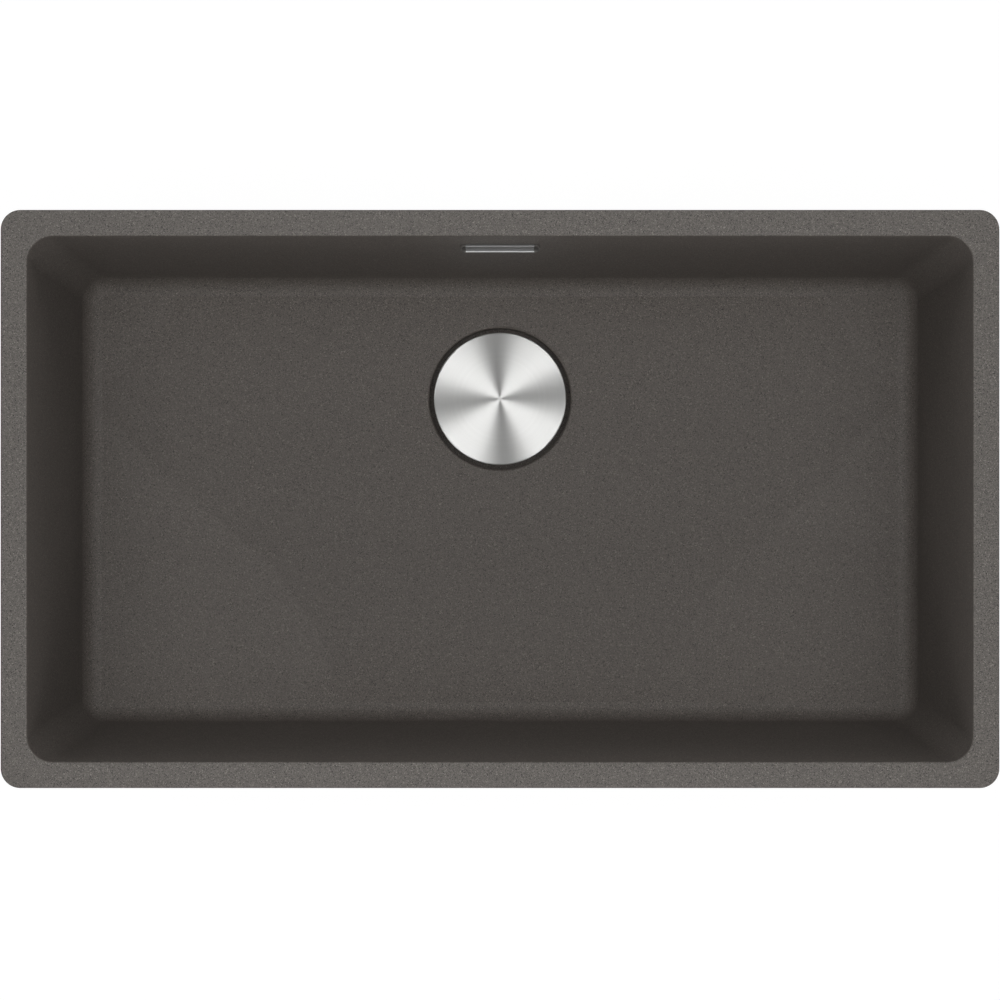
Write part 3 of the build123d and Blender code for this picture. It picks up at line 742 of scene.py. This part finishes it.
@dataclass
class Overflow(Assembly):
    """The overflow in the back wall, with its duct to the waste."""

    finishes = {
        "overflow_plate": "trim_steel",
        "overflow_bezel": "trim_plastic",
        "overflow_gasket": "seal_rubber",
        "overflow_housing": "waste_plastic",
        "overflow_duct": "waste_plastic",
        "upper_duct_seal": "seal_rubber",
        "lower_duct_seal": "seal_rubber",
    }
    wings: int = 4
    wing_reach: float = 2.1 * MM
    wing_width: float = 0.9 * MM
    recess_depth: float = 1.4 * MM
    recess_taper: float = 0.6

    def cross(self, middle: Vector, normal: Vector, taper: float) -> list[Vector]:
        """Return the corners of a cross recess.

        Args:
            middle: The cross's middle.
            normal: The way that the screw's head faces.
            taper: The cross's size, where 1 is that at the mouth.

        Returns:
            Three corners for each wing: the two at its end and the inner one that follows.
        """
        across = Vector((1.0, 0.0, 0.0))
        up = normal.cross(across)
        reach = self.wing_reach * taper
        half = self.wing_width / 2 * taper
        corners = []
        for wing in range(self.wings):
            turn = wing * tau / self.wings
            for x, y in ((reach, -half), (reach, half), (half, half)):
                along = x * cos(turn) - y * sin(turn)
                aside = x * sin(turn) + y * cos(turn)
                corners.append(middle + across * along + up * aside)
        return corners

    def cut_recess(self, screws: bmesh.types.BMesh, side: int) -> None:
        """Sink a cross recess in the head of one screw.

        Args:
            screws: The mesh of both screws, which is changed.
            side: -1 for the screw on the left, 1 for the one on the right.
        """
        backs = [face for face in screws.faces if face.normal.y > cos(radians(self.crease))]
        head = [face for face in backs if face.calc_center_median().x * side > 0]
        normal = head[0].normal.copy()
        edges = dict.fromkeys(edge for face in head for edge in face.edges)
        rim = [edge for edge in edges if sum(face in head for face in edge.link_faces) == 1]
        corners = dict.fromkeys(vertex for edge in rim for vertex in edge.verts)
        middle = sum((vertex.co for vertex in corners), Vector()) / len(corners)
        bmesh.ops.delete(screws, geom=head, context="FACES_KEEP_BOUNDARY")
        floor = middle - normal * self.recess_depth
        mouth = [screws.verts.new(spot) for spot in self.cross(middle, normal, 1.0)]
        foot = [screws.verts.new(spot) for spot in self.cross(floor, normal, self.recess_taper)]
        for place in range(len(mouth)):
            before = place - 1
            screws.faces.new((mouth[before], mouth[place], foot[place], foot[before]))
            rim.append(screws.edges.get((mouth[before], mouth[place])))
        screws.faces.new(foot)
        bmesh.ops.triangle_fill(screws, use_beauty=True, edges=rim, normal=normal)

    def build(self) -> None:
        """Make the screws with their cross recesses, in place of the plain ones."""
        screws = self.copy_of("overflow_screws")
        for side in (-1, 1):
            self.cut_recess(screws, side)
        self.replace("overflow_screws", screws, "overflow_screws_crossed", "cup_steel")


@dataclass
class Studio:
    """The floor, the lights and the camera, which looks straight down as the photograph does."""

    frame_pixels: float = 1000.0
    rim_pixels: float = 999.3
    middle_drop_pixels: float = 1.0
    camera_height: float = 2.448
    sensor: float = 36.0
    floor_size: float = 14.0
    floor_colour: Colour = (0.82, 0.82, 0.82, 1.0)
    floor_share: float = 0.86
    floor_glow: float = 1.1
    band_top: float = 0.1
    band_fade: float = 0.35
    band_light: float = 1.05
    dome_light: float = 0.1
    dome_glint: float = 0.32
    panels: int = 4
    panel_turn: float = 50.0
    panel_lean: float = 23.0
    panel_away: float = 1.8
    panel_size: tuple[float, float] = (0.68, 0.62)
    panel_light: float = 3.15
    overhead_away: float = 3.6
    overhead_size: tuple[float, float] = (4.8, 1.8)
    overhead_light: float = 2.25
    fill_away: float = 1.0
    fill_height: float = 0.7
    fill_size: tuple[float, float] = (0.8, 0.4)
    front_fill: float = 3.0
    back_fill: float = 1.95

    def floor(self) -> None:
        """Lay a pale floor that shows white and keeps the sink's shadow."""
        half = self.floor_size / 2
        corners = [(-half, -half, 0), (half, -half, 0), (half, half, 0), (-half, half, 0)]
        mesh = bpy.data.meshes.new("studio_floor")
        mesh.from_pydata(corners, [], [(0, 1, 2, 3)])
        floor = bpy.data.objects.new("studio_floor", mesh)
        floor.location.z = cad_box[0].z
        bpy.context.scene.collection.objects.link(floor)
        material = bpy.data.materials.new("studio_floor")
        material.use_nodes = True
        graph = Graph(material.node_tree)
        path = graph.node("ShaderNodeLightPath")
        seen = Value(graph, path.outputs["Is Camera Ray"])
        seen = seen.larger(Value(graph, path.outputs["Is Glossy Ray"]))
        seen = seen.larger(Value(graph, path.outputs["Is Transmission Ray"]))
        matt = graph.node("ShaderNodeBsdfDiffuse", {}, {"Color": self.floor_colour})
        glow = graph.node("ShaderNodeEmission", {}, {"Strength": self.floor_glow})
        sockets = {0: seen * self.floor_share, 1: matt.outputs[0], 2: glow.outputs[0]}
        shown = graph.node("ShaderNodeMixShader", {}, sockets)
        graph.node("ShaderNodeOutputMaterial", {}, {"Surface": shown.outputs[0]})
        mesh.materials.append(material)

    def world(self) -> None:
        """Light the sink from a bright band at the horizon and a dim dome, on a white background."""
        world = bpy.data.worlds.new("studio_world")
        world.use_nodes = True
        bpy.context.scene.world = world
        graph = Graph(world.node_tree)
        direction = graph.node("ShaderNodeTexCoord").outputs["Generated"]
        height = graph.value("ShaderNodeSeparateXYZ", {}, {0: direction}, "Z")
        band = height.rise(self.band_fade, self.band_top)
        light = self.dome_light + band * (self.band_light - self.dome_light)
        glint = graph.value("ShaderNodeLightPath", {}, {}, "Is Glossy Ray")
        light = light.larger(glint * self.dome_glint)
        seen = graph.value("ShaderNodeLightPath", {}, {}, "Is Camera Ray")
        strength = light + seen * (1.0 - light)
        shown = graph.node("ShaderNodeBackground", {}, {"Strength": strength, "Color": (1.0, 1.0, 1.0, 1.0)})
        graph.node("ShaderNodeOutputWorld", {}, {"Surface": shown.outputs[0]})

    def softbox(
        self, name: str, spot: Vector, aim: Vector, size: tuple[float, float], light: float
    ) -> bpy.types.Object:
        """Hang a softbox.

        Args:
            name: The lamp's name.
            spot: The middle of the softbox.
            aim: The point that it faces.
            size: Its width and its height.
            light: Its brightness, where 1 is that of a white background.

        Returns:
            The lamp.
        """
        lamp = bpy.data.lights.new(name, "AREA")
        lamp.shape = "RECTANGLE"
        lamp.size, lamp.size_y = size
        lamp.energy = light * pi * size[0] * size[1]
        hung = bpy.data.objects.new(name, lamp)
        hung.location = spot
        hung.rotation_mode = "QUATERNION"
        hung.rotation_quaternion = (aim - spot).to_track_quat("-Z", "Y")
        hung.visible_camera = False
        bpy.context.scene.collection.objects.link(hung)
        return hung

    def lights(self) -> None:
        """Light the stone from above, front and back, and the steel by softboxes round the cover."""
        stone_lamps = (
            ("overhead", (0.0, 0.0, self.overhead_away), self.overhead_size, self.overhead_light),
            ("front_fill", (0.0, -self.fill_away, self.fill_height), self.fill_size, self.front_fill),
            ("back_fill", (0.0, self.fill_away, self.fill_height), self.fill_size, self.back_fill),
        )
        for name, spot, size, light in stone_lamps:
            self.softbox(name, Vector(spot), Vector(), size, light).visible_glossy = False
        low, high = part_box("cover_disc")
        cover = (low + high) / 2
        lean = radians(self.panel_lean)
        for place in range(self.panels):
            turn = radians(self.panel_turn) + place * tau / self.panels
            way = Vector((sin(lean) * cos(turn), sin(lean) * sin(turn), cos(lean)))
            spot = cover + way * self.panel_away
            panel = self.softbox(f"softbox_{place + 1}", spot, cover, self.panel_size, self.panel_light)
            panel.visible_diffuse = False

    def camera(self) -> None:
        """Set the camera over the bowl's middle at the photograph's scale."""
        low, high = cad_box
        scale = (high.x - low.x) / self.rim_pixels
        lens = bpy.data.cameras.new("camera")
        lens.sensor_width = self.sensor
        lens.lens = self.sensor * self.camera_height / (scale * self.frame_pixels)
        camera = bpy.data.objects.new("camera", lens)
        camera.location = (0.0, -self.middle_drop_pixels * scale, self.camera_height)
        bpy.context.scene.collection.objects.link(camera)
        bpy.context.scene.camera = camera


def finishes() -> Iterator[tuple[str, Finish]]:
    """Yield each material slot's name and its finish."""
    low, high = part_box("cover_disc")
    middle = (low + high) / 2
    yield "granite", Granite(slot_colour("granite"))
    yield "cover_steel", SpunSteel(slot_colour("cover_steel"), (middle.x, middle.y))
    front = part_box("overflow_plate")[0].y
    yield "trim_steel", FoldedSteel(slot_colour("trim_steel"), Lay.ALONG, roughness=0.4, front=front)
    yield "cup_steel", SheetSteel(slot_colour("cup_steel"), Lay.UPRIGHT)
    yield "trim_plastic", MouldedPlastic(slot_colour("trim_plastic"), roughness=0.35)
    yield "waste_plastic", MouldedPlastic(slot_colour("waste_plastic"))
    yield "stem_plastic", MouldedPlastic(slot_colour("stem_plastic"))
    yield "stopper_rubber", Rubber(slot_colour("stopper_rubber"))
    yield "seal_rubber", Rubber(slot_colour("seal_rubber"))
    yield "brass", TurnedBrass(slot_colour("brass"))


def main() -> None:
    """Build and dress the sink piece by piece, and set up the studio."""
    logging.basicConfig(level=logging.INFO, format="%(name)s: %(message)s")
    bpy.context.scene.view_settings.view_transform = "Standard"
    materials = {slot: finish.material(slot) for slot, finish in finishes()}
    for assembly in (Bowl(), Strainer(), Basket(), Cover(), WasteBody(), Overflow()):
        assembly.build()
        assembly.dress(materials)
    studio = Studio()
    studio.floor()
    studio.world()
    studio.lights()
    studio.camera()


if __name__ == "__main__":
    main()
